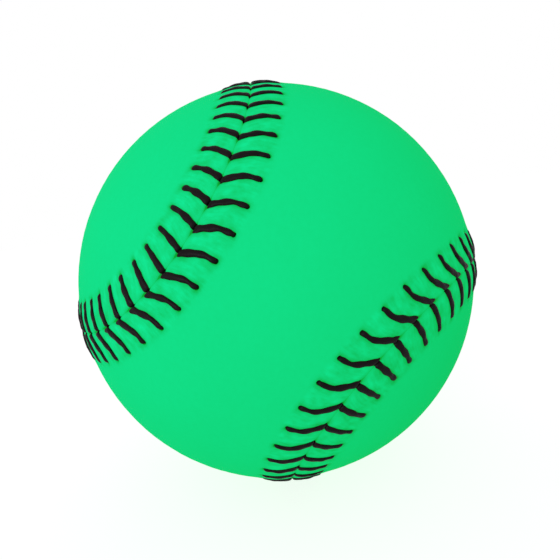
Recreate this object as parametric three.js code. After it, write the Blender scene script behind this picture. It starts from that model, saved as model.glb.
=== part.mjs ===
// A hardball with a luminous cover: a cork and rubber pill, four wound layers of yarn, two
// figure-eight cover panels and the two legs of the thread that lace them together.
// Millimetres, +Z up, origin at the centre of the ball.
// The seam is symmetric about the axes: it crosses +X, -X, +Z and -Z, the front panel is
// narrowest at -Y, and the back panel is narrowest at +Y.
import * as THREE from "three";

// Radial sizes, from the core outwards.
const coreRadius = 10.3;
const innerRubberWall = 3.7;
const outerRubberWall = 2.8;
const firstWindingWall = 13.3;
const secondWindingWall = 1.4;
const thirdWindingWall = 1.6;
const finishingWindingWall = 0.5;
const coverThickness = 1.3;

// Pill and winding details.
const gasketThickness = 1.2;
const yarnTailRadius = 1.2;

// Cover panels.
const coverWaist = 29.9; // narrowest width of a panel between its two seams, along the ball
const edgeHeight = 0.2; // how far the cut edge stands above the ball
const ridgeHeight = 0.35; // how far the top of the stitched ridge stands above the ball
const ridgeSetback = 1.3; // from the cut edge to the top of the ridge
const ridgeMargin = 0.95; // from a hole outwards to where the cover is smooth again

// Stitching.
const stitchesPerQuarter = 27; // double stitches for each quarter of the seam
const stitchReach = 4.9; // from the seam line to a hole
const stitchKnee = 3.3; // from the seam line to where a stitch turns square to its hole
const stitchLead = 1.83; // from its two holes forward to its place in the seam, on average
const panelSlip = 0.66; // how far the front panel's holes lag behind that, and the back one's lead
const slipSwing = 1.2; // how much this slip grows and shrinks, twice round the seam
const slipTurn = 4.74; // where round the seam it is greatest, as an angle
const stitchPhase = 0.613; // from a tip of the front panel to the first stitch, in stitches
const stitchDrift = 0.7; // how far hand sewing strays from even spacing, in stitches
const driftTurn = 0.58; // where round the seam it strays furthest ahead, as an angle
const threadWidth = 0.8; // where it lies over the ridge
const tuckedWidth = 0.55; // where it is drawn in, at the holes and in the seam
const threadThickness = 0.5;
const hiddenThickness = 0.42; // where it is pressed flat under the cover

// Clearances.
const layerGap = 0.3; // between the layers of the pill and of the windings
const coverGap = 0.4; // between the windings and the cover
const threadGap = 0.12; // between the thread and what it lies on
const tunnelGap = 0.25; // over the hidden thread
const holeGap = 0.22; // round the thread in its hole
const slotGap = 0.22; // on each side of the thread in the seam
const legGap = 0.2; // between the two legs where they go down the seam

// Facets.
const roundSides = 16;
const roundStacks = 8;
const fieldStep = 7.2; // widest facet on the smooth part of a panel
const seamSamples = 4000;

// Radii from the core outwards.
const innerRubberInside = coreRadius + layerGap;
const innerRubberOutside = innerRubberInside + innerRubberWall;
const outerRubberInside = innerRubberOutside + layerGap;
const pillRadius = outerRubberInside + outerRubberWall;
const windings = [
  ["first_winding", firstWindingWall, 0x8c8c88],
  ["second_winding", secondWindingWall, 0xe6e2d6],
  ["third_winding", thirdWindingWall, 0x8c8c88],
  ["finishing_winding", finishingWindingWall, 0xf2efe6],
];
const woundRadius = windings.reduce((radius, [, wall]) => radius + layerGap + wall, pillRadius);
const coverInside = woundRadius + coverGap;
const ballRadius = coverInside + coverThickness;

// Places across the seam, each measured from the seam line.
const seamEdge = threadThickness / 2 + slotGap;
const ridgeTop = seamEdge + ridgeSetback;
const holeWidth = tuckedWidth + 2 * holeGap;
const bandEnd = stitchReach + holeWidth / 2 + ridgeMargin;

const glowCover = new THREE.MeshStandardMaterial({
  color: 0x12dd84,
  roughness: 0.55,
  metalness: 0,
  emissive: 0x0a8a4c,
});
const blackThread = new THREE.MeshStandardMaterial({ color: 0x1c1519, roughness: 0.7, metalness: 0 });
const corkMix = new THREE.MeshStandardMaterial({ color: 0xa9794f, roughness: 0.9, metalness: 0 });
const blackRubber = new THREE.MeshStandardMaterial({ color: 0x1d1d1e, roughness: 0.8, metalness: 0 });
const redRubber = new THREE.MeshStandardMaterial({ color: 0xa8322a, roughness: 0.75, metalness: 0 });

// The seam line on a ball of radius 1, from a tip of the front panel. A lobe share of 0 would be
// a great circle, and the share follows from the width of the panel's waist.
class SeamCurve extends THREE.Curve {
  constructor(waistAngle) {
    super();
    this.lobe = (1 - Math.sin(waistAngle / 2)) / 2;
    this.arcLengthDivisions = seamSamples;
  }

  getPoint(share, target = new THREE.Vector3()) {
    const turn = 2 * Math.PI * share - Math.PI / 4;
    const main = 1 - this.lobe;
    return target.set(
      -main * Math.sin(turn) + this.lobe * Math.sin(3 * turn),
      -2 * Math.sqrt(main * this.lobe) * Math.sin(2 * turn),
      main * Math.cos(turn) + this.lobe * Math.cos(3 * turn),
    );
  }
}

const seam = new SeamCurve(coverWaist / ballRadius);
const stitchCount = 4 * stitchesPerQuarter;
const pitch = (seam.getLength() * ballRadius) / stitchCount;
const legSpacing = tuckedWidth + legGap;

// The cover lifts off the windings beside the seam, over the thread's hidden runs. A run is a
// straight chord, so its middle sags towards the windings.
const longestLag = pitch - stitchLead + panelSlip + slipSwing + legSpacing / 2;
const hiddenRun = Math.hypot(stitchReach, longestLag);
const hiddenSag = hiddenRun ** 2 / (8 * woundRadius);
const hiddenRadius = woundRadius + threadGap + hiddenSag + hiddenThickness / 2;
const bandInside = hiddenRadius + hiddenThickness / 2 + tunnelGap;

// The seam's own frame at a distance along it: its point, its direction, and the way across it
// that leads onto the front panel.
function seamFrame(along) {
  const share = THREE.MathUtils.euclideanModulo(along / (pitch * stitchCount), 1);
  const point = seam.getPointAt(share);
  const direction = seam.getTangentAt(share);
  const across = new THREE.Vector3().crossVectors(point, direction).normalize();
  return { point, direction, across };
}

// A direction from the centre, at a distance along the seam and a distance across it.
function overBall(along, across) {
  const frame = seamFrame(along);
  const angle = across / ballRadius;
  return frame.point.multiplyScalar(Math.cos(angle)).addScaledVector(frame.across, Math.sin(angle));
}

// Height of the outer face beside the seam: up from the cut edge to the ridge, then down.
function bandHeight(across) {
  if (across <= ridgeTop) {
    const share = Math.max(across - seamEdge, 0) / ridgeSetback;
    return THREE.MathUtils.lerp(edgeHeight, ridgeHeight, share);
  }
  const share = (across - ridgeTop) / (bandEnd - ridgeTop);
  return ridgeHeight * (1 - share) ** 2;
}

const turnAt = (index) => (2 * Math.PI * (index + stitchPhase)) / stitchCount;

// Where a stitch goes down the seam, along the seam.
function stitchAt(index) {
  const drift = stitchDrift * Math.cos(turnAt(index) - driftTurn);
  return (index + stitchPhase + drift) * pitch;
}

// Where its hole lies in the front panel (side 1) or in the back one (side -1).
function holeAt(index, side) {
  const slip = panelSlip + slipSwing * Math.cos(2 * turnAt(index) - slipTurn);
  return stitchAt(index) - stitchLead - side * slip;
}

// The first hole of a panel past a place along the seam.
function holePast(along, side) {
  let index = Math.floor(along / pitch) - stitchesPerQuarter;
  while (holeAt(index, side) < along) {
    index += 1;
  }
  return index;
}

// One closed mesh from its corners and its triangles.
function closedMesh(corners, triangles) {
  return new THREE.BufferGeometry()
    .setFromPoints(corners)
    .setIndex(triangles.flat());
}

// Joins two rows of corners with triangles, whatever their counts.
function zip(row, next, faces) {
  let i = 0;
  let j = 0;
  while (i < row.length - 1 || j < next.length - 1) {
    const rowFirst = (i + 1) * (next.length - 1) <= (j + 1) * (row.length - 1);
    const stepRow = j === next.length - 1 || (i < row.length - 1 && rowFirst);
    if (stepRow) {
      faces.push([row[i], row[i + 1], next[j]]);
      i += 1;
    } else {
      faces.push([row[i], next[j + 1], next[j]]);
      j += 1;
    }
  }
}

// One cover panel. Every corner is a direction with an outer and an inner radius, so the outer
// face, the inner face, the cut edge and the stitch holes share one net.
function coverPanel(side) {
  const corners = [];
  const faces = [];
  const walls = [];
  const add = (direction, outer, inner) => corners.push({ direction, outer, inner }) - 1;
  const band = (along, across) =>
    add(overBall(along, side * across), ballRadius + bandHeight(across), bandInside);
  const wrap = (index) => (index + stitchCount) % stitchCount;

  // Stations lie halfway between the holes, and the first is the one nearest the panel's tip.
  const firstHole = holePast(side > 0 ? 0 : stitchesPerQuarter * pitch, side);
  const edge = [];
  const ridge = [];
  const smooth = [];
  for (let i = 0; i < stitchCount; i += 1) {
    const along = (holeAt(firstHole + i - 1, side) + holeAt(firstHole + i, side)) / 2;
    edge.push(band(along, seamEdge));
    ridge.push(band(along, ridgeTop));
    smooth.push(band(along, bandEnd));
  }

  for (let i = 0; i < stitchCount; i += 1) {
    const next = wrap(i + 1);
    zip([edge[i], edge[next]], [ridge[i], ridge[next]], faces);
    walls.push([edge[i], edge[next]]);
    const centre = holeAt(firstHole + i, side);
    const hole = [
      band(centre - holeWidth / 2, stitchReach - holeWidth / 2),
      band(centre + holeWidth / 2, stitchReach - holeWidth / 2),
      band(centre + holeWidth / 2, stitchReach + holeWidth / 2),
      band(centre - holeWidth / 2, stitchReach + holeWidth / 2),
    ];
    const cell = [ridge[i], ridge[next], smooth[next], smooth[i]];
    for (let k = 0; k < cell.length; k += 1) {
      const after = (k + 1) % cell.length;
      faces.push([cell[k], cell[after], hole[after]]);
      faces.push([cell[k], hole[after], hole[k]]);
      walls.push([hole[after], hole[k]]);
    }
  }

  // The smooth field: rows of corners across the panel, between the two sides of its band.
  const field = (direction) => add(direction, ballRadius, coverInside);
  let row = [smooth[0]];
  for (let i = 1; i <= stitchCount / 2; i += 1) {
    const from = smooth[i];
    const to = smooth[wrap(-i)];
    const next = [from];
    if (to !== from) {
      const a = corners[from].direction;
      const b = corners[to].direction;
      const angle = a.angleTo(b);
      const steps = Math.ceil((angle * ballRadius) / fieldStep);
      for (let k = 1; k < steps; k += 1) {
        const share = k / steps;
        const direction = a
          .clone()
          .multiplyScalar(Math.sin((1 - share) * angle))
          .addScaledVector(b, Math.sin(share * angle))
          .normalize();
        next.push(field(direction));
      }
      next.push(to);
    }
    zip(next, row, faces);
    row = next;
  }

  // The outer face comes first among the points, then the inner face in the same order.
  const outside = corners.map(({ direction, outer }) => direction.clone().multiplyScalar(outer));
  const inside = corners.map(({ direction, inner }) => direction.clone().multiplyScalar(inner));
  const inner = (corner) => corner + corners.length;
  const triangles = [];
  const addTriangle = (a, b, c) => triangles.push(side > 0 ? [a, b, c] : [a, c, b]);
  for (const [a, b, c] of faces) {
    addTriangle(a, b, c);
    addTriangle(inner(a), inner(c), inner(b));
  }
  for (const [a, b] of walls) {
    addTriangle(b, a, inner(a));
    addTriangle(b, inner(a), inner(b));
  }
  return closedMesh([...outside, ...inside], triangles);
}

// One leg of the thread. It comes up through a hole, lies over the ridge to the seam, goes down
// between the panels, and runs under the other panel to that side's next hole.
function threadLeg(firstSide) {
  const path = [];
  const step = (along, across, radius, width, thickness) => {
    const centre = overBall(along, across).multiplyScalar(radius);
    path.push({ centre, broad: seamFrame(along).direction, width, thickness });
  };
  const overCover = (across) => ballRadius + bandHeight(across) + threadGap + threadThickness / 2;
  for (let i = 0; i < stitchCount; i += 1) {
    const side = i % 2 === 0 ? firstSide : -firstSide;
    const holeAlong = holeAt(i, side);
    const seamAlong = stitchAt(i) + (side * legSpacing) / 2;
    const ridgeAlong = THREE.MathUtils.lerp(seamAlong, holeAlong, ridgeTop / stitchKnee);
    step(holeAlong, side * stitchReach, hiddenRadius, tuckedWidth, hiddenThickness);
    step(holeAlong, side * stitchReach, overCover(stitchReach), tuckedWidth, threadThickness);
    step(holeAlong, side * stitchKnee, overCover(stitchKnee), threadWidth, threadThickness);
    step(ridgeAlong, side * ridgeTop, overCover(ridgeTop), threadWidth, threadThickness);
    step(seamAlong, 0, overCover(0), tuckedWidth, threadThickness);
    step(seamAlong, 0, hiddenRadius, tuckedWidth, hiddenThickness);
  }

  // A diamond section at each step, mitred between the way in and the way out.
  const points = [];
  path.forEach(({ centre, broad, width, thickness }, i) => {
    const after = path[(i + 1) % path.length];
    const arriving = centre.clone().sub(path.at(i - 1).centre).normalize();
    const leaving = after.centre.clone().sub(centre).normalize();
    const heading = arriving.clone().add(leaving).normalize();
    const wide = broad.addScaledVector(heading, -broad.dot(heading)).setLength(width / 2);
    const mitre = 1 / heading.dot(arriving);
    const high = heading.clone().cross(wide).setLength((mitre * thickness) / 2);
    points.push(centre.clone().add(wide), centre.clone().add(high));
    points.push(centre.clone().sub(wide), centre.clone().sub(high));
  });

  const sides = 4;
  const triangles = [];
  for (let i = 0; i < path.length; i += 1) {
    const here = i * sides;
    const next = ((i + 1) % path.length) * sides;
    for (let k = 0; k < sides; k += 1) {
      const after = (k + 1) % sides;
      triangles.push([here + k, here + after, next + after], [here + k, next + after, next + k]);
    }
  }
  return closedMesh(points, triangles);
}

// Points of a round profile, as (distance from the axis, height), from the lowest point up to an
// angle about the centre. All layers share the same angles, so their facets are parallel.
function arcPoints(radius, end) {
  const stack = Math.PI / roundStacks;
  return Array.from({ length: Math.ceil(end / stack) + 1 }, (_, i) => {
    const angle = Math.min(i * stack, end);
    return new THREE.Vector2(Math.max(radius * Math.sin(angle), 0), -radius * Math.cos(angle));
  });
}

// A turned piece about +Z, from a profile that ends on the axis or closes on itself.
const turned = (points) => new THREE.LatheGeometry(points, roundSides).rotateX(Math.PI / 2);

// A wound layer: a hollow ball with the small hole where its yarn's tail was drawn in.
function woundLayer(inside, wall) {
  const outside = inside + wall;
  const reach = (radius) => Math.PI - Math.asin(yarnTailRadius / radius);
  const outer = arcPoints(outside, reach(outside));
  const inner = arcPoints(inside, reach(inside)).reverse();
  return turned([...outer, ...inner]);
}

// Half of a rubber shell, its rim a given height below the middle of the ball.
function rubberCup(inside, wall, rimDrop) {
  const outside = inside + wall;
  const outer = arcPoints(outside, Math.acos(rimDrop / outside));
  const inner = arcPoints(inside, Math.acos(rimDrop / inside)).reverse();
  return turned([...outer, ...inner]);
}

const ball = new THREE.Group();

function piece(name, geometry, material) {
  const mesh = new THREE.Mesh(geometry, material);
  mesh.name = name;
  ball.add(mesh);
  return mesh;
}

// The pill: a cork core in two black cups with a gasket between their rims, and two red cups.
piece("cork_core", turned(arcPoints(coreRadius, Math.PI)), corkMix);
const blackRimDrop = gasketThickness / 2 + layerGap;
const blackCup = () => rubberCup(innerRubberInside, innerRubberWall, blackRimDrop);
piece("inner_rubber_cup_lower", blackCup(), blackRubber);
piece("inner_rubber_cup_upper", blackCup(), blackRubber).rotation.x = Math.PI;
const gasketProfile = [
  new THREE.Vector2(innerRubberInside, -gasketThickness / 2),
  new THREE.Vector2(innerRubberOutside, -gasketThickness / 2),
  new THREE.Vector2(innerRubberOutside, gasketThickness / 2),
  new THREE.Vector2(innerRubberInside, gasketThickness / 2),
  new THREE.Vector2(innerRubberInside, -gasketThickness / 2),
];
piece("rubber_gasket", turned(gasketProfile), redRubber);
const redCup = () => rubberCup(outerRubberInside, outerRubberWall, layerGap / 2);
piece("outer_rubber_cup_lower", redCup(), redRubber);
piece("outer_rubber_cup_upper", redCup(), redRubber).rotation.x = Math.PI;

// The wound layers, each over the one before.
let inside = pillRadius + layerGap;
for (const [name, wall, color] of windings) {
  const yarn = new THREE.MeshStandardMaterial({ color, roughness: 0.95, metalness: 0 });
  piece(name, woundLayer(inside, wall), yarn);
  inside += wall + layerGap;
}

piece("cover_panel_front", coverPanel(1), glowCover);
piece("cover_panel_back", coverPanel(-1), glowCover);
piece("thread_first_leg", threadLeg(1), blackThread);
piece("thread_second_leg", threadLeg(-1), blackThread);

export default ball;
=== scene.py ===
# %% [markdown]
# # A glow-in-the-dark baseball
# A hardball is a small cork and rubber pill, wound with hundreds of metres of yarn, and covered by
# two figure-eight panels that a single thread laces together. This one has a luminous green cover
# and black thread. The packed CAD model gives every piece its place and size. It is loaded first,
# and its box is kept, because the finished ball has to stay in it.

# %% The packed model
import math

import bpy
import numpy as np
from mathutils import Matrix, Vector


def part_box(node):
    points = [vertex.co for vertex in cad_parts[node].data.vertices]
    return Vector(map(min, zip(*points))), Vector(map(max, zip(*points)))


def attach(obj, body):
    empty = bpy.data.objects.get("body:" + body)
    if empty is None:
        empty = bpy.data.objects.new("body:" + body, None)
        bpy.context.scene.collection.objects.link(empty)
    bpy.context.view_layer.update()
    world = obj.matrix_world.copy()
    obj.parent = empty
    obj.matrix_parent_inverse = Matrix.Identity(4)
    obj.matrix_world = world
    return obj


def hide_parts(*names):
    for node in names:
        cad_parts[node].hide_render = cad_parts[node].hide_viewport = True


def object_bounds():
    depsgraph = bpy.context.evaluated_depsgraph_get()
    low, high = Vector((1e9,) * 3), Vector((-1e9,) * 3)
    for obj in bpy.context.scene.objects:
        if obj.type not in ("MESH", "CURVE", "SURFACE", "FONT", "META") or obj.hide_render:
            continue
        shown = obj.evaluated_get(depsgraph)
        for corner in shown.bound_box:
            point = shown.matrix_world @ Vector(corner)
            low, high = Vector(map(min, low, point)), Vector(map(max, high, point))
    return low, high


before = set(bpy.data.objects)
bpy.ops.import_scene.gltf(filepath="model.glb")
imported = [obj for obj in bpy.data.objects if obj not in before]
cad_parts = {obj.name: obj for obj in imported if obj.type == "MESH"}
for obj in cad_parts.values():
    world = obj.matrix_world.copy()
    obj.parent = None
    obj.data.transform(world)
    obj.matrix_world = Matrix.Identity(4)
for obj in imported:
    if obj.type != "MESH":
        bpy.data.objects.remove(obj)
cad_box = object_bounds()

MM = 0.001
print("nodes:", sorted(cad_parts))

# %% [markdown]
# ## The sizes
# The wound ball inside the cover is already in the model, so its radius is read from there. What the
# model doesn't say by itself, such as the thickness of the cover, is named here in millimetres,
# because a number that has a name is easy to find and to change.

# %% Sizes in millimetres
wound_radius = -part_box("finishing_winding")[0].z / MM
cover_gap = 0.4
cover_thickness = 1.3
thread_room = 0.92
thread_clearance = 0.46
cover_inside = wound_radius + cover_gap
ball_radius = cover_inside + cover_thickness
band_inside = wound_radius + thread_room
hidden_radius = wound_radius + thread_clearance
print(f"ball radius {ball_radius:.2f} mm, {2 * math.pi * ball_radius:.1f} mm round")

# %% [markdown]
# ## The seam line
# The seam of a baseball is one closed curve that swings twice up and twice down as it goes round the
# ball. It could be drawn by hand and pressed onto a sphere. A formula is better: a large circle turn
# and a small one, three times as quick, add up to a curve that lies exactly on the sphere. Sewing
# needs distances along the seam, so a table of running length turns a distance into a place.

# %% The seam curve
cover_waist = 29.9
lobe = (1 - math.sin(cover_waist / ball_radius / 2)) / 2
main = 1 - lobe
seam_samples = 20000


def seam_point(turn):
    """Directions of the seam line, turn by turn from a tip of the front panel."""
    t = np.asarray(turn) - math.pi / 4
    x = -main * np.sin(t) + lobe * np.sin(3 * t)
    y = -2 * math.sqrt(main * lobe) * np.sin(2 * t)
    z = main * np.cos(t) + lobe * np.cos(3 * t)
    return np.stack([x, y, z], axis=-1)


def seam_heading(turn):
    """Which way the seam runs there."""
    t = np.asarray(turn) - math.pi / 4
    x = -main * np.cos(t) + 3 * lobe * np.cos(3 * t)
    y = -4 * math.sqrt(main * lobe) * np.cos(2 * t)
    z = -main * np.sin(t) - 3 * lobe * np.sin(3 * t)
    heading = np.stack([x, y, z], axis=-1)
    return heading / np.linalg.norm(heading, axis=-1, keepdims=True)


turns = np.linspace(0, 2 * math.pi, seam_samples + 1)
steps = np.linalg.norm(np.diff(seam_point(turns), axis=0), axis=1)
running = np.concatenate([[0], np.cumsum(steps)]) * ball_radius
seam_length = running[-1]
print(f"seam {seam_length:.1f} mm long")

# %% [markdown]
# ## Places on the ball
# A sewer measures along the seam and across it. These two helpers do the same: they turn a distance
# along and a distance across, in millimetres, into a direction from the ball's centre. Across is
# positive on the front panel and negative on the back one.

# %% Along and across
def seam_frame(along):
    """The seam's point, its heading, and the way across it onto the front panel."""
    turn = np.interp(np.mod(along, seam_length), running, turns)
    point = seam_point(turn)
    heading = seam_heading(turn)
    return point, heading, np.cross(point, heading)


def over_ball(along, across):
    """Directions from the ball's centre."""
    point, _, sideways = seam_frame(along)
    angle = np.asarray(across)[..., None] / ball_radius
    return point * np.cos(angle) + sideways * np.sin(angle)


print("the front panel's tip is at", np.round(over_ball(0, 0.0) * ball_radius, 1), "mm")

# %% [markdown]
# ## The stitches
# Each of the 108 double stitches has a hole on either panel and a place in the seam a little further
# along, so its two arms make a V. Hand sewing isn't quite even. The stitches lie closer on one
# stretch of the seam than on another, one panel's holes have slipped along against the other's, and
# every single hole is a little off. Slow waves and a few seeded random numbers do all that.

# %% Stitch places
stitch_count = 108
stitch_phase = 0.613
stitch_drift = 0.7
drift_turn = 0.58
stitch_reach = 4.9
stitch_lead = 1.83
panel_slip = 0.77
slip_swing = 1.2
slip_turn = 4.74
slow_swing = 0.24
slow_turn = 4.81
pitch = seam_length / stitch_count

hand_seed = 4
hole_strays = 0.13
reach_strays = 0.1
hand = np.random.default_rng(hand_seed).uniform(-1, 1, (3, 2, stitch_count))


def stray(kind, index, side):
    """A seeded number from -1 to 1. Kind 0 is for along, 1 for across and 2 for the thread's width."""
    return hand[kind, 0 if side > 0 else 1, np.mod(index, stitch_count)]


def turn_at(index):
    """How far round the seam a stitch is, as an angle."""
    return 2 * math.pi * (index + stitch_phase) / stitch_count


def stitch_at(index):
    """Where a stitch goes down the seam, along the seam."""
    return (index + stitch_phase + stitch_drift * np.cos(turn_at(index) - drift_turn)) * pitch


def hole_at(index, side):
    """Where a stitch's hole lies on the front panel, side 1, or the back one, side -1."""
    turn = turn_at(index)
    slip = panel_slip + slip_swing * np.cos(2 * turn - slip_turn)
    slip = slip + slow_swing * np.cos(turn - slow_turn)
    return stitch_at(index) - stitch_lead - side * slip + hole_strays * stray(0, index, side)


def reach_at(index, side):
    """How far its hole is from the seam line."""
    return stitch_reach + reach_strays * stray(1, index, side)


print(f"one stitch every {pitch:.2f} mm, the first one {stitch_at(0):.2f} mm from the tip")

# %% [markdown]
# ## The arms of a stitch
# An arm leaves its hole square to the seam, and bends towards its place in the seam at a knee. Its own
# pull draws the joint of the two arms back a little from where the needle went. Straight lines with
# a corner would look like wire. A hyperbola has the same two straight ends with a soft bend between
# them. Two arms share a joint, so each is set a little to its own side.

# %% Arms
stitch_knee = 2.9
knee_softness = 0.8
joint_back = 0.53
leg_spacing = 0.37
joint_lead = stitch_lead - joint_back


def arm_rise(across):
    """Nearly 0 at a hole, 1 at the seam, with a soft knee between them."""
    before_knee = stitch_knee - np.asarray(across)
    soft = before_knee + np.hypot(before_knee, knee_softness)
    return soft / (stitch_knee + math.hypot(stitch_knee, knee_softness))


def seam_place(index, side):
    """Where the arm of one side goes down the seam; side 0 is the middle of the joint."""
    return stitch_at(index) - joint_back + side * leg_spacing / 2


def arm_at(index, across, side):
    """Where an arm lies along the seam, at a distance across it."""
    hole = hole_at(index, side)
    return hole + (seam_place(index, side) - hole) * arm_rise(across)


print(f"an arm climbs {seam_place(0, 1) - hole_at(0, 1):.2f} mm from its hole on the front panel")

# %% [markdown]
# ## From numbers to meshes
# Every piece of this ball is worked out as points and faces, because a formula can follow a seam that
# no primitive fits. One helper makes the Blender mesh from them, shades it smooth but keeps its cut
# edges sharp, lets it ride with the ball, and hides the CAD node that it stands for. Numbers that belong
# to points, such as how deep a crease is, go along as attributes that a finish can read.

# %% Making a piece
sharp_angle = math.radians(50)


def make_piece(name, points, faces, looks, node, slot):
    """A mesh piece from points in millimetres, which replaces a CAD node."""
    used = np.unique(np.concatenate([np.ravel(f) for f in faces]))
    place = np.full(len(points), -1)
    place[used] = np.arange(len(used))
    polygons = [tuple(p) for f in faces for p in place[f].tolist()]
    mesh = bpy.data.meshes.new(name)
    mesh.from_pydata((points[used] * MM).tolist(), [], polygons)
    mesh.polygons.foreach_set("use_smooth", [True] * len(mesh.polygons))
    mesh.set_sharp_from_angle(angle=sharp_angle)
    for look, values in looks.items():
        mesh.attributes.new(look, "FLOAT", "POINT").data.foreach_set("value", values[used])
    piece = bpy.data.objects.new(name, mesh)
    bpy.context.scene.collection.objects.link(piece)
    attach(piece, "root")
    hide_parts(node)
    print(f"{name}: {len(mesh.vertices)} points, {len(mesh.polygons)} faces")
    return piece


# %% [markdown]
# ## The skin of the cover
# Near the seam the cover isn't round. It rises to a low ridge, rolls over at its cut edge, sinks under
# every arm of thread and puffs up between two arms. This could be painted as a bump, but a bump has no
# outline, so it is real height here: a few simple curves, added up in millimetres.

# %% Height of the skin
ridge_top = 1.8
ridge_height = 0.26
edge_height = 0.22
band_end = 6.4
slope_step = 0.1


def smooth_step(value, low, high):
    """0 below low, 1 above high, and a soft curve between them."""
    share = np.clip((value - low) / (high - low), 0, 1)
    return share * share * (3 - 2 * share)


def ridge(across):
    """The rise of the stitched edge above the round ball."""
    rising = edge_height + (ridge_height - edge_height) * smooth_step(across, 0, ridge_top)
    return rising * (1 - smooth_step(across, ridge_top, band_end))


def arm_distance(along, across, index, side):
    """How far a place is from the nearest arm, in millimetres."""
    nearest = np.full(np.broadcast(along, across).shape, np.inf)
    beyond = np.maximum(across - reach_at(index, side), 0)
    for neighbour in (-1, 0, 1):
        line = arm_at(index + neighbour, across, side)
        slope = (arm_at(index + neighbour, across - slope_step, side) - line) / slope_step
        nearest = np.minimum(nearest, np.hypot((along - line) / np.hypot(1, slope), beyond))
    return nearest


def between_arms(along, across, index, side):
    """0 on an arm and 1 halfway between two of them."""
    return 0.5 - 0.5 * np.cos(2 * math.pi * (along - arm_at(index, across, side)) / pitch)


print(f"the cut edge stands {ridge(0.0):.2f} mm above the ball, the ridge {ridge(ridge_top):.2f} mm")

# %% [markdown]
# ## The net of a panel
# A panel is a net of small faces. Its columns follow the seam, twelve to a stitch, and its rows run
# side by side from the cut edge inwards, close together where the skin is busy. Subdividing a coarse
# net would round the holes away. Here each hole falls on the same three by three faces of its
# stitch, so those are left out and their rim is pulled round.

# %% Rows and columns
fine = 12
hole_radius = 0.36
hole_cell = 0.9
hole_margin = 0.25
slope_start, slope_count = 0.82, 13
edge_rows = np.array([0, 0.08, 0.18, 0.34, 0.56])
slope_rows = np.linspace(slope_start, stitch_reach - hole_cell / 2 - hole_margin, slope_count)
hole_rows = stitch_reach + hole_cell * np.array([-1 / 2, -1 / 6, 1 / 6, 1 / 2])
plain_rows = stitch_reach + hole_cell / 2 + np.array([0.3, 0.65, 1.05, 1.45, 1.85])
rows = np.concatenate([edge_rows, slope_rows, hole_rows, plain_rows])
first_hole_row = len(edge_rows) + len(slope_rows)

column = np.arange(stitch_count * fine)
column_stitch = column // fine
column_share = (column % fine + 0.5) / fine


def column_places(side):
    """Where each column lies along the seam."""
    here, there = hole_at(column_stitch, side), hole_at(column_stitch + 1, side)
    return here * (1 - column_share) + there * column_share


print(f"{len(column)} columns, {len(rows)} rows, the last {rows[-1]:.1f} mm from the seam")

# %% [markdown]
# ## Corners of the stitched band
# The band beside the seam carries everything that the needle did. First come the places of its
# corners. An even net would need no more than its columns and rows. Here the cut edge gives way where
# the threads go down, and the corners round a hole are pulled onto a circle.

# %% Corners of the band
seam_gap = 0.006
stitch_gap = 0.2
stitch_gap_length = 0.85
stitch_gap_ahead = 0.1
gap_depth = 0.8
tiny = 1e-6


def joint_distance(places, ahead):
    """How far columns are from the nearest spot that lies a given way ahead of a joint."""
    offs = [places - seam_place(column_stitch + k, 0) - ahead for k in range(-1, 3)]
    return np.min(np.abs(offs), axis=0)[:, None]


def bell(distance, width):
    """1 at no distance, and less further off, in the shape of a bell."""
    return np.exp(-((distance / width) ** 2))


def band_corners(side):
    """Along and across for every corner of the band, and how far it is from its hole."""
    places = column_places(side)
    along = np.repeat(places[:, None], len(rows), axis=1)
    closeness = np.exp(-((joint_distance(places, stitch_gap_ahead) / stitch_gap_length) ** 4))
    across = rows + (seam_gap + stitch_gap * closeness) * bell(rows, gap_depth)

    nearest = (column_stitch + np.round(column_share).astype(int))[:, None]
    hole_along, hole_across = hole_at(nearest, side), reach_at(nearest, side)
    away = np.stack([along - hole_along, across - stitch_reach], axis=-1)
    away /= np.maximum(np.linalg.norm(away, axis=-1, keepdims=True), tiny)
    row = np.arange(len(rows))
    in_rows = (row >= first_hole_row) & (row < first_hole_row + len(hole_rows))
    in_columns = np.isin(column % fine, [fine - 2, fine - 1, 0, 1])
    rim = in_columns[:, None] & in_rows
    along = np.where(rim, hole_along + away[..., 0] * hole_radius, along)
    across = np.where(rim, hole_across + away[..., 1] * hole_radius, across)
    return along, across, np.hypot(along - hole_along, across - hole_across)


print(f"the seam is {2 * seam_gap:.3f} mm open, and {2 * (seam_gap + stitch_gap):.2f} mm at a stitch")

# %% [markdown]
# ## Heights and looks of the band
# Now the corners get their heights: the ridge and the puffs are added, and the grooves, the rolled edge
# and the dimples round the holes are taken away. The same sums give the looks that the finish needs:
# a painted shade that is dark in the grooves, at the rolled edge, round the holes, ahead of each joint,
# next to the arms and over the gathered band, a pucker that says where the leather is gathered, and two
# distances, which the wrinkles there follow.

# %% Heights and looks
# Each _shadow and _shade number says how much painted shade a mark gives the stored shade.
groove_depth, groove_width, groove_shadow = 0.2, 0.45, 0.3
edge_roll, edge_radius, roll_shadow = 0.07, 0.12, 0.15
dimple_depth, dimple_width, dimple_shadow = 0.07, 0.45, 0.15
tip_shadow, tip_ahead, tip_length, tip_width = 0.22, 1.0, 0.6, 0.4
puff_height = 0.08
plain_shade = 0.85
gathered_shade = 0.04
arm_shadow = 0.13
pucker_start = (0.1, 0.8)
pucker_end = 6.2


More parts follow.
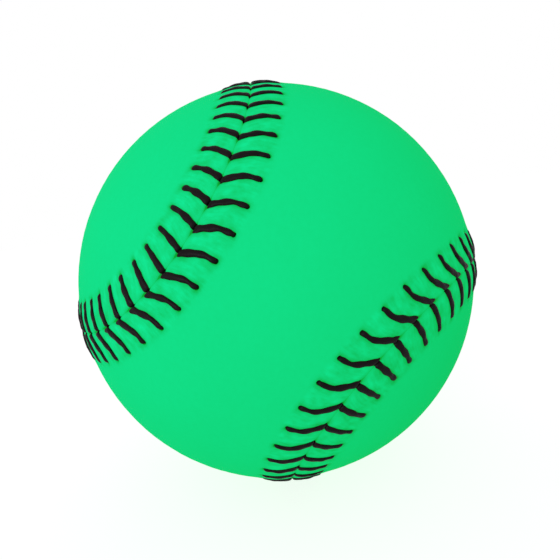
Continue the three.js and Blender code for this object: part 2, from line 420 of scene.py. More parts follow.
def stitched_band(side):
    """Along, across and height for every corner of the band, and its looks."""
    along, across, from_hole = band_corners(side)
    index = column_stitch[:, None]
    between = between_arms(along, across, index, side)
    puff = between * (1 - smooth_step(across, stitch_knee, band_end)) * smooth_step(across, 0, 1)
    groove = bell(arm_distance(along, across, index, side), groove_width)
    roll = np.exp(-rows / edge_radius)
    dimple = bell(from_hole, dimple_width)
    height = ridge(across) + puff_height * puff
    height -= groove_depth * groove + edge_roll * roll + dimple_depth * dimple

    # The shade is painted shade: lower in the grooves, at the rolled edge, round the holes, just ahead of
    # each joint, next to the arms and over the whole gathered band.
    tip = bell(joint_distance(column_places(side), tip_ahead), tip_length) * bell(across, tip_width)
    gathered = 1 - smooth_step(across, stitch_reach, pucker_end)
    shade = plain_shade - gathered_shade * gathered - arm_shadow * gathered * (1 - between)
    shade -= groove_shadow * groove + roll_shadow * roll + dimple_shadow * dimple + tip_shadow * tip
    pucker = smooth_step(across, *pucker_start) * gathered
    fold = along - joint_lead * arm_rise(across)
    looks = {"shade": shade, "pucker": pucker, "fold": fold, "across": side * across}
    return along, across, height, looks


print(f"a groove is {groove_depth} mm deep, and a puff {puff_height} mm high")

# %% [markdown]
# ## From the band to the middle
# Past the band the cover is plain, and small faces would be wasted there. Each ring further in has
# half the points of the last, and the middle is filled by arcs from one side of the panel to the
# other. A grid fill in Blender does something like it, but arcs of great circles keep to the ball.

# %% Joining rows of points
ring_distances = [8.0, 9.1, 10.8]
field_step = 2.2


def zip_rows(row, following):
    """Triangles between two rows of points, whatever their counts."""
    faces, i, j = [], 0, 0
    while i < len(row) - 1 or j < len(following) - 1:
        row_first = (i + 1) * (len(following) - 1) <= (j + 1) * (len(row) - 1)
        if j == len(following) - 1 or (i < len(row) - 1 and row_first):
            faces.append((row[i], row[i + 1], following[j]))
            i += 1
        else:
            faces.append((row[i], following[j + 1], following[j]))
            j += 1
    return faces


def halving_strip(outer, inner):
    """Triangles between a ring and one with half its points."""
    a, b, c = outer[0::2], outer[1::2], np.roll(outer, -2)[0::2]
    d, e = inner, np.roll(inner, -1)
    return np.concatenate([np.stack([a, b, d], 1), np.stack([b, e, d], 1), np.stack([b, c, e], 1)])


def middle_arcs(ring, directions, tip, start):
    """Points and triangles that fill a ring of points, by arcs from side to side."""
    count = len(ring)
    points, faces = [], []
    row = [ring[tip]]
    for i in range(1, count // 2 + 1):
        one, other = (tip + i) % count, (tip - i) % count
        following = [ring[one]]
        if one != other:
            a, b = directions[one], directions[other]
            angle = math.acos(float(np.clip(a @ b, -1, 1)))
            inner = max(math.ceil(angle * ball_radius / field_step), 1)
            share = np.arange(1, inner)[:, None] / inner
            arc = (a * np.sin((1 - share) * angle) + b * np.sin(share * angle)) / math.sin(angle)
            following += range(start + len(points), start + len(points) + len(arc))
            points.extend(arc)
            following.append(ring[other])
        faces += zip_rows(following, row)
        row = following
    return np.array(points), np.array(faces)


print(f"{len(ring_distances)} rings, the last one with {len(column) >> len(ring_distances)} points")

# %% [markdown]
# ## The sheet of a panel
# The band, the rings and the arcs join to one open sheet. Beside the seam its inner side stands off
# the yarn, to leave room for the thread's hidden runs, and further in it is glued down.

# %% The open sheet
field_start, field_end = 5.6, 8.2
# The inner side gets a low level of painted shade, which the walls of the seam gap and of the holes run
# down to, so that those look dark.
inner_painted_shade = 0.2


def lift_at(across):
    """1 where the inner side stands off the yarn, 0 where it is glued down."""
    return 1 - smooth_step(across, field_start, field_end)


def panel_sheet(side, along, across, grid):
    """Directions, lifts and triangles of the whole sheet, the band's quads left out."""
    places = column_places(side)
    directions, distances = [over_ball(along, side * across).reshape(-1, 3)], [across.ravel()]
    triangles = []
    ring, step, total = grid[:, -1], 1, along.size
    for distance in ring_distances:
        step *= 2
        ring_across = np.full(len(places[::step]), distance)
        directions.append(over_ball(places[::step], side * ring_across))
        distances.append(ring_across)
        following = np.arange(total, total + len(ring_across))
        triangles.append(halving_strip(ring, following))
        ring, total = following, total + len(ring_across)
    tip_along = 0 if side > 0 else seam_length / 4
    off_tip = np.mod(places[::step] - tip_along + seam_length / 2, seam_length) - seam_length / 2
    points, faces = middle_arcs(ring, directions[-1], int(np.argmin(np.abs(off_tip))), total)
    directions = np.concatenate(directions + [points])
    lifts = np.zeros(len(directions))
    lifts[:total] = lift_at(np.concatenate(distances))
    return directions, lifts, np.concatenate(triangles + [faces])


print(f"the inner side comes down to the glue {field_end:.1f} mm from the seam")

# %% [markdown]
# ## The two cover panels
# A Solidify modifier could give the sheet its thickness, but it doesn't know the yarn below. So the
# sheet is copied inwards to the panel's inner face, and walls close it at the cut edge and round every
# hole. A panel is then one solid piece of leather. The back panel is made by the same steps on the
# other side of the seam, with its faces turned over.

# %% Closing a panel
def hole_walls(grid):
    """The edges round every stitch hole, in order."""
    first = np.arange(stitch_count) * fine - 2
    last = len(hole_rows) - 1
    loop = [(c, 0) for c in range(last)] + [(last, r) for r in range(last)]
    loop += [(last - c, last) for c in range(last)] + [(0, last - r) for r in range(last)]
    edges = []
    for (c, r), (c_next, r_next) in zip(loop, loop[1:] + loop[:1]):
        here = grid[(first + c) % len(column), first_hole_row + r]
        there = grid[(first + c_next) % len(column), first_hole_row + r_next]
        edges.append(np.stack([here, there], 1))
    return edges


def cover_panel(side):
    """Points, faces and looks of one panel."""
    along, across, height, band_looks = stitched_band(side)
    grid = np.arange(along.size).reshape(along.shape)
    after = np.roll(grid, -1, axis=0)
    quads = np.stack([grid[:, :-1], after[:, :-1], after[:, 1:], grid[:, 1:]], axis=-1)
    hole_cells = np.isin(column % fine, [fine - 2, fine - 1, 0])
    keep = np.ones(quads.shape[:2], bool)
    keep[np.ix_(hole_cells, range(first_hole_row, first_hole_row + len(hole_rows) - 1))] = False
    quads = quads[keep]

    directions, lifts, triangles = panel_sheet(side, along, across, grid)
    count = len(directions)
    radius = np.full(count, ball_radius)
    radius[: height.size] += height.ravel()
    outer = directions * radius[:, None]
    inner = directions * (cover_inside + (band_inside - cover_inside) * lifts)[:, None]
    walls = np.concatenate([np.stack([after[:, 0], grid[:, 0]], 1)] + hole_walls(grid))
    walls = np.stack([walls[:, 0], walls[:, 1], walls[:, 1] + count, walls[:, 0] + count], 1)
    faces = [quads, triangles, quads[:, ::-1] + count, triangles[:, ::-1] + count, walls]
    if side < 0:
        faces = [f[:, ::-1] for f in faces]

    looks = {name: np.zeros(2 * count) for name in band_looks}
    # Plain level on the outer side, and painted shade on the inner side, which darkens the gap and hole
    # walls.
    looks["shade"][:count], looks["shade"][count:] = plain_shade, inner_painted_shade
    for name, values in band_looks.items():
        looks[name][: values.size] = values.ravel()
    return np.concatenate([outer, inner]), faces, looks


cover_front = make_piece("cover_front", *cover_panel(1), "cover_panel_front", "luminous_cover")
cover_back = make_piece("cover_back", *cover_panel(-1), "cover_panel_back", "luminous_cover")

# %% [markdown]
# ## The thread's route
# One long waxed thread is sewn with both its ends, so two legs of it lace the seam. Each leg comes up
# through a hole, lies over the ridge, dives into the seam, and runs under the other panel to that
# side's next hole. It could be 216 separate arms, but a leg that goes on out of sight can't float or
# end in the air. Sixteen points a stitch say where it goes, and how wide it is there: up the hole,
# along the arm, over the lip of the seam, down its throat to the bottom, and on to the next hole.

# %% The route of one leg
arm_across = [4.45, 3.95, 3.5, 3.05, 2.4, 1.65, 1.0, 0.45]
arm_widths = [0.86, 0.76, 0.7, 0.8, 1.0, 0.98, 0.94, 1.02]
arm_lifts = [-0.04, -0.06, -0.03, 0.04, 0.05, 0.04, 0.03, 0.02]
tucked_width = 0.54
hole_width = 0.7
diving_width = 1.0
full_thick, tucked_thick, pinched_thick = 0.5, 0.4, 0.34
width_strays = 0.08
tail = 0.1
hole_depths = [0.5, 0.05]
lip_across, lip_height = 0.22, 0.14
throat_across, throat_depth = 0.14, 0.15
bottom_across, bottom_depth = 0.08, 0.7
bottom_spacing = 0.26
far_across = 0.1
halfway_height = 0.05


def leg_route(first_side):
    """Rows of along, across, radius, width and thickness for a leg's points."""
    route = []
    for k in range(stitch_count):
        side = first_side if k % 2 == 0 else -first_side
        hole, reach, seam = hole_at(k, side), side * reach_at(k, side), seam_place(k, side)
        route.append((hole, reach, hidden_radius, tucked_width, tucked_thick))
        for depth in hole_depths:
            route.append((hole, reach, ball_radius - depth, hole_width, tucked_thick))
        stout = 1 + width_strays * stray(2, k, side)
        for across, width, lift in zip(arm_across, arm_widths, arm_lifts):
            radius = ball_radius + float(ridge(across)) + lift
            route.append((arm_at(k, across, side), side * across, radius, width * stout, full_thick))
        drawn = tail if side > 0 else 0
        throat_width = diving_width - 2 * drawn
        deep = seam + side * bottom_spacing / 2
        halfway = (deep + hole_at(k + 1, -side)) / 2
        route += [
            (seam + drawn / 2, side * lip_across, ball_radius + lip_height, diving_width, tucked_thick),
            (seam + drawn, side * throat_across, ball_radius - throat_depth, throat_width, pinched_thick),
            (deep, side * bottom_across, ball_radius - bottom_depth, tucked_width, pinched_thick),
            (deep, -side * far_across, hidden_radius, tucked_width, tucked_thick),
            (halfway, -reach / 2, hidden_radius + halfway_height, tucked_width, tucked_thick),
        ]
    return np.array(route)


print(f"{len(leg_route(1))} points for one leg")

# %% [markdown]
# ## The body of the thread
# A thread is plied: two strands twisted round each other. A curve with a round bevel would look like
# wire, so the tube's section has two soft lobes that turn as it goes. It is a little flat where it is
# pulled over the ridge, and thin where it is drawn into a hole, as in the photograph.

# %% A plied tube along a closed route
spline_steps = 3
tube_sides = 10
ply_pitch = 2.1
ply_depth = 0.1


def closed_spline(values):
    """A smooth closed curve that passes close to every row of values."""
    t = np.arange(spline_steps)[:, None] / spline_steps
    weights = [(1 - t) ** 3, 3 * t**3 - 6 * t**2 + 4, -3 * t**3 + 3 * t**2 + 3 * t + 1, t**3]
    parts = [w[None] * np.roll(values, -k, axis=0)[:, None, :] for k, w in enumerate(weights)]
    return (sum(parts) / 6).reshape(-1, values.shape[1])


def plied_tube(route):
    """Points, faces and looks of a closed tube of two twisted strands."""
    centres = over_ball(route[:, 0], route[:, 1]) * route[:, 2:3]
    heading = seam_frame(route[:, 0])[1]
    smooth = closed_spline(np.concatenate([centres, heading, route[:, 3:5]], axis=1))
    centre, broad, width, thick = smooth[:, :3], smooth[:, 3:6], smooth[:, 6:7], smooth[:, 7:8]
    ahead = np.roll(centre, -1, axis=0) - np.roll(centre, 1, axis=0)
    ahead /= np.linalg.norm(ahead, axis=1, keepdims=True)
    broad = broad - ahead * np.sum(broad * ahead, axis=1, keepdims=True)
    broad /= np.linalg.norm(broad, axis=1, keepdims=True)
    high = np.cross(ahead, broad)
    lengths = np.linalg.norm(np.diff(centre, axis=0, append=centre[:1]), axis=1)
    total = lengths.sum()
    twist = (np.cumsum(lengths) - lengths) / total * 2 * math.pi * round(total / ply_pitch)
    angle = np.linspace(0, 2 * math.pi, tube_sides, endpoint=False)[None, :]
    lobes = 1 + ply_depth * np.cos(2 * (angle - twist[:, None] / 2))
    sideways = (np.cos(angle) * lobes * width / 2)[..., None] * broad[:, None]
    upwards = (np.sin(angle) * lobes * thick / 2)[..., None] * high[:, None]
    points = centre[:, None] + sideways + upwards
    ring = np.arange(points.shape[0] * tube_sides).reshape(-1, tube_sides)
    following, around = np.roll(ring, -1, axis=0), np.roll(ring, -1, axis=1)
    faces = np.stack([ring, around, np.roll(following, -1, axis=1), following], axis=-1)
    print(f"a leg of thread {total / 1000:.2f} m long")
    return points.reshape(-1, 3), [faces.reshape(-1, 4)], {}


thread_first = make_piece("thread_first", *plied_tube(leg_route(1)), "thread_first_leg", "black_thread")
thread_second = make_piece("thread_second", *plied_tube(leg_route(-1)), "thread_second_leg", "black_thread")

# %% [markdown]
# ## Turned shells
# Everything inside the cover is round. A Screw modifier turns a profile about an axis, but it leaves a
# pinched ring of points at a pole. This helper turns a profile in code instead: a profile point on the
# axis becomes one single point, and a profile that ends off the axis closes on its first point.

# %% A turned shell
axis_limit = 1e-6


def turned_shell(profile, columns):
    """Points and faces from a profile of radius and height."""
    angle = np.linspace(0, 2 * math.pi, columns, endpoint=False)
    points, rings, total = [], [], 0
    for radius, height in profile:
        turn = angle[: 1 if radius < axis_limit else columns]
        rings.append(np.arange(total, total + len(turn)))
        x, y = radius * np.cos(turn), radius * np.sin(turn)
        points.append(np.stack([x, y, np.full(len(turn), height)], 1))
        total += len(turn)
    following = rings[1:] + (rings[:1] if profile[-1][0] > axis_limit else [])
    faces = []
    for here, there in zip(rings, following):
        below = [here, np.roll(here, -1)] if len(here) > 1 else [np.repeat(here, columns)]
        above = [np.roll(there, -1), there] if len(there) > 1 else [np.repeat(there, columns)]
        faces.append(np.stack(below + above, 1))
    return np.concatenate(points), faces


def arc_profile(radius, start, end, steps):
    """Profile points round the centre, by angles up from the lowest point."""
    angles = np.linspace(start, end, steps)
    return [(max(radius * math.sin(a), 0.0), -radius * math.cos(a)) for a in angles]


small_bowl, _ = turned_shell(arc_profile(1, 0, math.pi / 2, 4), 8)
print("a bowl of 4 profile points and 8 columns has", len(small_bowl), "points")

# %% [markdown]
# ## Wound yarn
# The yarn is wound in thousands of turns, each a great circle that has crept a little from the last.
# Real strands would be millions of faces that nobody sees, and a plain ball would be wrong where one
# is cut open. So a layer is one shell, and the yarn is its relief: a few seeded bundles of turns lie
# at their own levels, and for every point of the shell the highest strand that passes over it counts.

# %% Yarn relief
yarn_turns = 8
loosest_level = 0.4


def yarn_relief(directions, radius, yarn, bundles, deepest, seed):
    """The height of the yarn over the shell's radius for each direction, never above 0."""
    dice = np.random.default_rng(seed)
    height = np.full(len(directions), -deepest)
    for _ in range(bundles):
        pole, creep = dice.normal(size=(2, 3))
        pole /= np.linalg.norm(pole)
        creep -= pole * (creep @ pole)
        creep /= np.linalg.norm(creep)
        level = -loosest_level * yarn * dice.uniform()
        for turn in range(yarn_turns):
            angle = turn * yarn / radius
            axis = pole * math.cos(angle) + creep * math.sin(angle)
            off = np.abs(directions @ axis) * radius / (yarn / 2)
            near = off < 1
            strand = level + (np.sqrt(1 - off[near] ** 2) - 1) * yarn / 2
            height[near] = np.maximum(height[near], strand)
    return height


print(f"{yarn_turns} turns to a bundle, which lies up to {loosest_level} of its yarn's width deep")

# %% [markdown]
# ## The four windings
# A ball has thick grey yarn at the bottom, then white, then grey again, and a fine white yarn to
# finish. Their sizes build inwards from the wound ball. Each shell is open at the top where its yarn's
# tail was drawn in, and its inner face is plain, because it rests on the layer below.

# %% Winding the ball
tail_radius = 1.2
layer_gap = 0.3
deepest_share = 0.75
inner_rows = 24
finishing_wall, third_wall, second_wall, first_wall = 0.5, 1.6, 1.4, 13.3


def winding(node, slot, outside, wall, yarn, bundles, columns, seed):
    """A wound layer, as a shell with relief on its outer face."""
    inside = outside - wall
    outer = arc_profile(outside, 0, math.pi - math.asin(tail_radius / outside), columns // 2)
    inner = arc_profile(inside, math.pi - math.asin(tail_radius / inside), 0, inner_rows)
    points, faces = turned_shell(outer + inner, columns)
    outer_count = 1 + (len(outer) - 1) * columns
    directions = points[:outer_count] / outside
    deepest = min(yarn, deepest_share * wall)
    relief = yarn_relief(directions, outside, yarn, bundles, deepest, seed)
    points[:outer_count] = directions * (outside + relief)[:, None]
    depth = np.zeros(len(points))
    depth[:outer_count] = -relief / yarn
    return make_piece(node + "_yarn", points, faces, {"depth": depth}, node, slot)


third_radius = wound_radius - finishing_wall - layer_gap
second_radius = third_radius - third_wall - layer_gap
first_radius = second_radius - second_wall - layer_gap
windings = [
    winding("first_winding", "grey_yarn", first_radius, first_wall,
            yarn=1.9, bundles=42, columns=360, seed=1),
    winding("second_winding", "white_yarn", second_radius, second_wall,
            yarn=1.6, bundles=50, columns=400, seed=2),
    winding("third_winding", "grey_yarn", third_radius, third_wall,
            yarn=1.6, bundles=54, columns=420, seed=3),
    winding("finishing_winding", "finishing_yarn", wound_radius, finishing_wall,
            yarn=1.3, bundles=68, columns=420, seed=5),
]

# %% [markdown]
# ## The rubber cups
# Round the core are two black rubber cups, and round those two red ones. They are moulded, so they
# are smooth turned shapes with a fine rounding at every rim. A Bevel modifier could round them. Here
# the rounding is part of the profile, so every rim gets the same one whatever its angle.

# %% Four cups
pill_radius = first_radius - first_wall - layer_gap
red_wall, black_wall = 2.8, 3.7
red_inside = pill_radius - red_wall
black_radius = red_inside - layer_gap
black_inside = black_radius - black_wall
gasket_thickness = 1.2
rim_rounding = 0.25
rounding_points = 5
pill_columns = 128
pole_steps = 40


def corner_profile(radius, height, start):
    """A quarter circle of the rounding, about its own centre, from an angle in degrees."""
    turns = np.radians(np.linspace(start, start + 90, rounding_points))
    return [(radius + rim_rounding * math.cos(t), height + rim_rounding * math.sin(t)) for t in turns]


def cup_pair(node, slot, inside, outside, rim_drop):
    """A lower cup, its rim a little below the ball's middle, and an upper one, turned over."""
    centre_height = -rim_drop - rim_rounding
    outer_centre = math.sqrt((outside - rim_rounding) ** 2 - centre_height**2)
    inner_centre = math.sqrt((inside + rim_rounding) ** 2 - centre_height**2)
    profile = arc_profile(outside, 0, math.atan2(outer_centre, -centre_height), pole_steps)[:-1]
    profile += corner_profile(outer_centre, centre_height, 0)
    profile += corner_profile(inner_centre, centre_height, 90)
    profile += arc_profile(inside, math.atan2(inner_centre, -centre_height), 0, pole_steps)[1:]
    points, faces = turned_shell(profile, pill_columns)
    pair = []
    for half, turn in (("lower", (1, 1, 1)), ("upper", (1, -1, -1))):
        name = f"{node}_{half}"
        pair.append(make_piece(name + "_shell", points * turn, faces, {}, name, slot))
    return pair


black_drop = gasket_thickness / 2 + layer_gap
black_cups = cup_pair("inner_rubber_cup", "black_rubber", black_inside, black_radius, black_drop)
red_cups = cup_pair("outer_rubber_cup", "red_rubber", red_inside, pill_radius, layer_gap / 2)

# %% [markdown]
# ## The gasket
# A flat rubber ring lies between the rims of the black cups and takes up what they lack. A torus
# primitive is round in section, and this ring is square. So it is turned from four rounded corners.

# %% Gasket ring
corner_height = gasket_thickness / 2 - rim_rounding
outer_centre, inner_centre = black_radius - rim_rounding, black_inside + rim_rounding
gasket_corners = [(outer_centre, -1), (outer_centre, 1), (inner_centre, 1), (inner_centre, -1)]
gasket_profile = []
for quarter, (centre, upwards) in enumerate(gasket_corners):
    gasket_profile += corner_profile(centre, upwards * corner_height, 90 * (quarter - 1))
gasket_points, gasket_faces = turned_shell(gasket_profile, pill_columns)
gasket = make_piece("gasket_ring", gasket_points, gasket_faces, {}, "rubber_gasket", "red_rubber")

# %% [markdown]
# ## The core
# The heart of the ball is a sphere pressed from ground cork and a little rubber. Its surface has tiny
# pits between the crumbs. A noise would give soft dents. Distances to seeded grain centres give cells
# with valleys between them, which is how pressed crumbs look.

# %% Cork core
core_radius = 10.3
grain_seed = 8
grain_count = 700
grain_size = 1.6
crumb_top, crumb_edge = 0.35, 0.7
pit_depth = 0.12
core_rows, core_columns = 90, 160
grains = np.random.default_rng(grain_seed).normal(size=(grain_count, 3))
grains /= np.linalg.norm(grains, axis=1, keepdims=True)
core_points, core_faces = turned_shell(arc_profile(core_radius, 0, math.pi, core_rows), core_columns)
closest = np.max(core_points @ grains.T / core_radius, axis=1)
to_grain = np.sqrt(np.maximum(2 - 2 * closest, 0)) * core_radius
pit = smooth_step(to_grain, crumb_top * grain_size, crumb_edge * grain_size)
core_points = core_points * (1 - pit * pit_depth / core_radius)[:, None]
core = make_piece("cork_ball", core_points, core_faces, {"pit": pit}, "cork_core", "cork")

# %% [markdown]
# ## Shader maths in Python
# A material is a graph of nodes. Drawn by hand, a sum takes a node and two wires. Here a small class
# wraps an output of a node, so that a plain expression such as 1 - mask adds the Math nodes itself.
# The methods with an r in front, such as __rsub__, are for a number on the left, as in that example.

# %% Wires
class Wire:
    """The output of a node. Maths on it adds Math nodes."""

    def __init__(self, finish, socket):
        self.finish, self.socket = finish, socket

    def maths(self, operation, a, b):
        return self.finish.node("ShaderNodeMath", {"operation": operation}, {0: a, 1: b})

    def __add__(self, other):
        return self.maths("ADD", self, other)

    def __radd__(self, other):
        return self.maths("ADD", other, self)

    def __sub__(self, other):
        return self.maths("SUBTRACT", self, other)

    def __rsub__(self, other):
        return self.maths("SUBTRACT", other, self)

    def __mul__(self, other):
        return self.maths("MULTIPLY", self, other)

    def __rmul__(self, other):
        return self.maths("MULTIPLY", other, self)


print("Wire:", Wire.__doc__)

# %% [markdown]
# ## Adding nodes
# Every node is added in the same way: its type first, then its settings, because some of them change
# which sockets it has, and then the values or wires of its sockets. One method does that. The others
# are short names for nodes that nearly every finish needs.

# %% Finishes
class Finish:
    """A material that is being made, or a world."""

    def __init__(self, name, world=False):
        self.block = bpy.data.worlds.new(name) if world else bpy.data.materials.new(name)
        self.block.use_nodes = True
        self.tree = self.block.node_tree

    def feed(self, socket, value):
        """Joins a wire to a socket, or sets the socket to a plain value."""
        if isinstance(value, Wire):
            self.tree.links.new(value.socket, socket)
        else:
            socket.default_value = value

    def node(self, kind, settings=None, inputs=None, output=0):
        """Adds a node, with its settings first and then its sockets' values or wires."""
        made = self.tree.nodes.new(kind)
        for setting, value in (settings or {}).items():
            if setting == "stops":
                for position, colour in value:
                    made.color_ramp.elements.new(position).color = colour
                made.color_ramp.elements.remove(made.color_ramp.elements[0])
                made.color_ramp.elements.remove(made.color_ramp.elements[-1])
            else:
                setattr(made, setting, value)
        for socket, value in (inputs or {}).items():
            self.feed(made.inputs[socket], value)
        return Wire(self, made.outputs[output])

    def mix(self, factor, low, high):
        """A colour between two others. Sockets 6 and 7 take the colours, and output 2 gives the mix."""
        return self.node("ShaderNodeMix", {"data_type": "RGBA"}, {0: factor, 6: low, 7: high}, output=2)

    def place(self):
        """The place of a surface point in the piece's own frame, in metres."""
        return self.node("ShaderNodeTexCoord", output="Object")

    def look(self, name):
        """Numbers that were stored with the mesh's points."""
        return self.node("ShaderNodeAttribute", {"attribute_name": name}, output="Fac")

    def noise(self, place, scale, detail):
        """Soft noise from 0 to 1, with about as many bumps to a metre as its scale."""
        return self.node("ShaderNodeTexNoise", inputs={"Vector": place, "Scale": scale, "Detail": detail})

    def bump(self, height, strength, distance):
        """Relief that is too fine for the mesh, its distance in metres."""
        inputs = {"Strength": strength, "Distance": distance, "Height": height}
        return self.node("ShaderNodeBump", inputs=inputs)

    def surface(self, inputs):
        """The finished surface, from the sockets of Blender's own shader."""
        shader = self.tree.nodes["Principled BSDF"]
        for socket, value in inputs.items():
            self.feed(shader.inputs[socket], value)
        return self.block


trial = Finish("trial")
mask = trial.noise(trial.place(), scale=1, detail=0)
print("1 - mask adds a", (1 - mask).socket.node.operation, "node")
bpy.data.materials.remove(trial.block)

# %% [markdown]
# ## Small helpers for finishes
# A screen bends its colours, while Blender works with plain amounts of light. Most colours are written
# here as a screen shows them, which is easier to picture, and one helper turns them into amounts of
# light. Another makes a noise swing to both sides of a value, and the last gives pieces their material.

# %% Colours, swings and materials
def swing(noise, size):
    """A number from 0 to 1, such as a noise, as one that swings round 0."""
    return (noise - 0.5) * size


def dress(pieces, material):
    """Gives pieces their material."""
    for piece in pieces:
        piece.data.materials.append(material)
        print(piece.name, "is", material.name, "with", len(material.node_tree.nodes), "nodes")


def rgb(red, green, blue):
    """A colour as a screen shows it, 0 to 255, in the linear numbers that Blender uses."""
    shares = [c / 255 for c in (red, green, blue)]
    return [s / 12.92 if s <= 0.04045 else ((s + 0.055) / 1.055) ** 2.4 for s in shares] + [1.0]


print("middle grey on a screen is", round(rgb(128, 128, 128)[0], 3), "to Blender")

# %% [markdown]
# ## Luminous leather
# The cover is white synthetic leather filled with a pigment that gives its light back as green. The ball
# looks so evenly lit that it hardly has a shaded side. So most of its colour is emission, painted light
# that stands in for that even light, given here as amounts of light, and only a small share is ordinary
# green that the lamps light. Its fine grain is a bump, the stored painted shade darkens the creases,
# grooves and holes, and small wrinkles with painted light and shade along them show where the leather is
# gathered.

# %% The cover's finish
# The dark ends of both mixes are the painted shade of creases, grooves and holes. The glow mix is emission,
# painted light that stands in for the even light on the ball.
lit_dark, lit_light = (0.002, 0.13, 0.0, 1), (0.003, 0.30, 0.23, 1)
glow_dark, glow_light = (0.003, 0.24, 0.0, 1), (0.0038, 0.523, 0.074, 1)
folds_along, folds_across = 1.9, 0.45
wrinkle_relief = 6


def luminous_leather():
    finish = Finish("luminous_leather")
    place = finish.place()
    cloudy = finish.noise(place, scale=45, detail=3)
    speckle = finish.noise(place, scale=1400, detail=2)
    grain = finish.node("ShaderNodeTexVoronoi", {"feature": "SMOOTH_F1"}, {"Vector": place, "Scale": 2100})
    beside = {"X": finish.look("fold") * folds_along, "Y": finish.look("across") * folds_across}
    folds = finish.noise(finish.node("ShaderNodeCombineXYZ", inputs=beside), scale=1, detail=2)
    crumple = finish.noise(place, scale=620, detail=2)
    # The wrinkles are a bump, and through the level they also paint light and shade along the folds. The
    # level holds the stored painted shade, random cloudy and speckled tone, and the wrinkles' painted light
    # and shade.
    wrinkle = finish.look("pucker") * (swing(folds, 0.6) + swing(crumple, 0.7))
    level = finish.look("shade") + swing(cloudy, 0.1) + swing(speckle, 0.08) + wrinkle
    return finish.surface({
        "Base Color": finish.mix(level, lit_dark, lit_light),
        "Roughness": 0.68 + swing(speckle, 0.1),
        "Specular IOR Level": 0.002,
        # Painted light: the emission stands in for the even light on the ball.
        "Emission Color": finish.mix(level, glow_dark, glow_light),
        "Emission Strength": 1.0,
        "Normal": finish.bump(grain + wrinkle * wrinkle_relief, strength=0.25, distance=0.00003),
    })


dress([cover_front, cover_back], luminous_leather())

# %% [markdown]
# ## Waxed thread
# The thread is dyed nearly black and drawn through wax, which gives it a soft shine and a faint
# brown cast. Its plies are real geometry. The fibres on them are far too fine for that, so they are a
# bump from a noise, and a wider noise makes the dye a little uneven.

# %% The thread's finish
def waxed_thread():
    finish = Finish("waxed_thread")
    place = finish.place()
    fibre = finish.noise(place, scale=4200, detail=3)
    uneven = finish.noise(place, scale=260, detail=2)
    return finish.surface({
        "Base Color": finish.mix(uneven, rgb(11, 6, 8), rgb(25, 16, 18)),
        "Roughness": 0.5 + swing(fibre, 0.3),
        "Specular IOR Level": 0.07,
        "Normal": finish.bump(fibre, strength=0.5, distance=0.00004),
    })


dress([thread_first, thread_second], waxed_thread())

# %% [markdown]
# ## Wool yarn
# Wool is matt and hairy, and its hollows between the strands lie in shade. An image of yarn would have
# to line up with the strands. The depth that was stored with the relief already does, so it paints
# shade into the hollows, while a slow noise gives patches of tone and a fine noise stands for the hairs.

# %% The windings' finishes
def wool(name, low, high):
    finish = Finish(name)
    place = finish.place()
    fibre = finish.noise(place, scale=2600, detail=4)
    patchy = finish.noise(place, scale=150, detail=2)
    # Patchy tone, and painted shade in the hollows from the stored depth.
    patches_and_painted_shade = patchy * 0.4 + (1 - finish.look("depth")) * 0.6
    return finish.surface({
        "Base Color": finish.mix(patches_and_painted_shade, low, high),
        "Roughness": 0.88 + swing(fibre, 0.1),
        "Specular IOR Level": 0.2,
        "Normal": finish.bump(fibre, strength=0.7, distance=0.0001),
    })


# The darker colour of each pair is what the patches and the painted shade in the hollows lean to.
first, second, third, finishing = windings
dress([first, third], wool("grey_wool", rgb(84, 84, 80), rgb(160, 160, 154)))
dress([second], wool("white_wool", rgb(178, 171, 152), rgb(238, 234, 222)))
dress([finishing], wool("fine_wool", rgb(190, 184, 168), rgb(246, 243, 234)))

# %% [markdown]
# ## Moulded rubber
# The cups and the gasket come out of a mould with an even, dull skin and a faint bloom, which is
# a pale haze that rubber gets with age. A slow noise moves both its colour and its gloss, and a fine
# one stands for the skin of the mould.

# %% The rubber's finishes
def moulded_rubber(name, low, high):
    finish = Finish(name)
    place = finish.place()
    bloom = finish.noise(place, scale=190, detail=4)
    skin = finish.noise(place, scale=2400, detail=2)
    return finish.surface({
        "Base Color": finish.mix(bloom, low, high),
        "Roughness": 0.6 + swing(bloom, 0.25),
        "Specular IOR Level": 0.35,
        "Normal": finish.bump(skin, strength=0.3, distance=0.00004),
    })


dress(black_cups, moulded_rubber("soft_black", rgb(22, 22, 23), rgb(40, 40, 42)))
dress(red_cups + [gasket], moulded_rubber("brick_red", rgb(150, 40, 32), rgb(178, 58, 46)))

# %% [markdown]
# ## Pressed cork
# Cork mixture is full of light and dark crumbs. A Voronoi texture gives every crumb a colour of its
# own, a ramp turns that into shades of cork, and the pits that are in the mesh get painted shade, darker
# still.

# %% The core's finish
def pressed_cork():
    finish = Finish("pressed_cork")
    cells = {"Vector": finish.place(), "Scale": 900}
    crumbs = finish.node("ShaderNodeTexVoronoi", inputs=cells, output="Color")
    stops = [(0.2, rgb(104, 66, 38)), (0.5, rgb(172, 124, 80)), (0.8, rgb(208, 165, 115))]
    tone = finish.node("ShaderNodeValToRGB", {"stops": stops}, {"Fac": crumbs})
    pit = finish.look("pit")
    return finish.surface({
        # Painted shade in the pits between the crumbs.
        "Base Color": finish.mix(pit * 0.6, tone, rgb(70, 42, 24)),
        "Roughness": 0.85 + swing(pit, 0.1),
        "Normal": finish.bump(crumbs, strength=0.6, distance=0.00015),
    })


dress([core], pressed_cork())

# %% [markdown]
# ## The camera
# The photograph was taken from close by, a little above the middle of the ball and with the camera
# turned a few degrees. The stitches gave its place: this camera puts them nearest to where the
# photograph has them. In its frame of 560 pixels the ball is 198 pixels in radius, and that sets the
# lens.

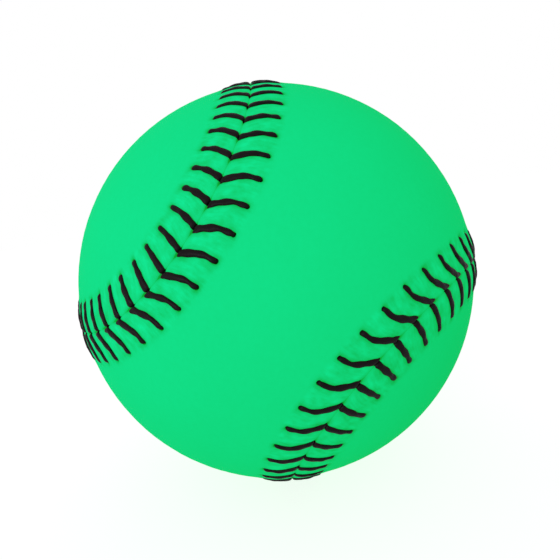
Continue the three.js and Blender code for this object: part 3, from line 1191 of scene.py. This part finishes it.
# %% Camera
frame_width = 560
nearest_seen = 0.001
ball_pixels = 197.8
centre_pixel = (276.1, 280.5)
camera_distance = 2.496
view_right = Vector((0.9893, 0.0302, -0.143)).normalized()
view_back = Vector((0.0521, -0.987, 0.1519)).normalized()
view_up = view_back.cross(view_right).normalized()

lens = bpy.data.cameras.new("camera")
camera = bpy.data.objects.new("camera", lens)
bpy.context.scene.collection.objects.link(camera)
turned = Matrix((view_up.cross(view_back), view_up, view_back)).transposed().to_4x4()
camera.matrix_world = Matrix.Translation(view_back * camera_distance * ball_radius * MM) @ turned
focal_pixels = ball_pixels * math.sqrt(camera_distance**2 - 1)
lens.sensor_width = 36
lens.lens = lens.sensor_width * focal_pixels / frame_width
lens.shift_x = (frame_width / 2 - centre_pixel[0]) / frame_width
lens.shift_y = (centre_pixel[1] - frame_width / 2) / frame_width
lens.clip_start = nearest_seen
bpy.context.scene.camera = camera
print(f"lens {lens.lens:.2f} mm at {camera_distance * ball_radius:.1f} mm from the centre")

# %% [markdown]
# ## The table
# The ball lies on a white table that runs past the edge of the view. A table bright enough to look
# white would also light the ball from below. So the camera, and whatever mirrors or lets light
# through, sees a table that is white by itself with a faint shadow on it, while the lamps' light meets
# an ordinary pale surface. A Mix Shader tells the two apart by the kind of ray.

# %% Table top
table_half = 20.0
table_pale = (0.36, 0.36, 0.36, 1)
table_glow = 0.8
pure_white = (1, 1, 1, 1)


def two_faced(finish, output, lit, seen):
    """Shows the second shader to the camera, mirrors and glass, and the first one to the light."""
    camera_ray = finish.node("ShaderNodeLightPath", output="Is Camera Ray")
    glossy_ray = finish.node("ShaderNodeLightPath", output="Is Glossy Ray")
    clear_ray = finish.node("ShaderNodeLightPath", output="Is Transmission Ray")
    looking = camera_ray + glossy_ray + clear_ray
    chosen = finish.node("ShaderNodeMixShader", inputs={0: looking, 1: lit, 2: seen})
    finish.feed(finish.tree.nodes[output].inputs["Surface"], chosen)
    return finish.block


def table_top():
    finish = Finish("table_top")
    pale = finish.node("ShaderNodeBsdfDiffuse", inputs={"Color": table_pale})
    glow = finish.node("ShaderNodeEmission", inputs={"Color": pure_white, "Strength": table_glow})
    white = finish.node("ShaderNodeAddShader", inputs={0: glow, 1: pale})
    return two_faced(finish, "Material Output", pale, white)


table_level = cad_box[0][2]
corner_signs = [(-1, -1), (1, -1), (1, 1), (-1, 1)]
corners = [(x * table_half, y * table_half, table_level) for x, y in corner_signs]
table_mesh = bpy.data.meshes.new("table")
table_mesh.from_pydata(corners, [], [(0, 1, 2, 3)])
table_mesh.materials.append(table_top())
table = bpy.data.objects.new("table", table_mesh)
bpy.context.scene.collection.objects.link(table)
print(f"the table is {-table_level / MM:.1f} mm below the ball's centre")

# %% [markdown]
# ## Surroundings
# A photographer would hang white cloth all round. The world does that job: it lights the ball from
# every side at a plain level, and looks white to the camera.

# %% White surroundings
fill_light = 0.6


def white_studio():
    finish = Finish("white_studio", world=True)
    fill = finish.node("ShaderNodeBackground", inputs={"Color": pure_white, "Strength": fill_light})
    white = finish.node("ShaderNodeBackground", inputs={"Color": pure_white, "Strength": 1.0})
    return two_faced(finish, "World Output", fill, white)


bpy.context.scene.world = white_studio()
print("surroundings:", bpy.context.scene.world.name)

# %% [markdown]
# ## The lamp
# In the photograph the ball is a little darker to the right and below. One large soft lamp from the
# front left, a little above the ball, gives that slow fall of light. A sun would give a hard edge.

# %% Key lamp
key_place = Vector((-0.465, -0.77, 0.1))
key_size = 0.25
key_watts = 4
light = bpy.data.lights.new("key_lamp", "AREA")
light.size, light.energy = key_size, key_watts
lamp = bpy.data.objects.new("key_lamp", light)
lamp.location = key_place
lamp.rotation_euler = (-key_place).to_track_quat("-Z", "Y").to_euler()
bpy.context.scene.collection.objects.link(lamp)
bpy.context.scene.view_settings.view_transform = "Standard"
print(f"the lamp is {key_place.length:.2f} m away")

# %% [markdown]
# ## The size of the finished ball
# The looks must not change the size.
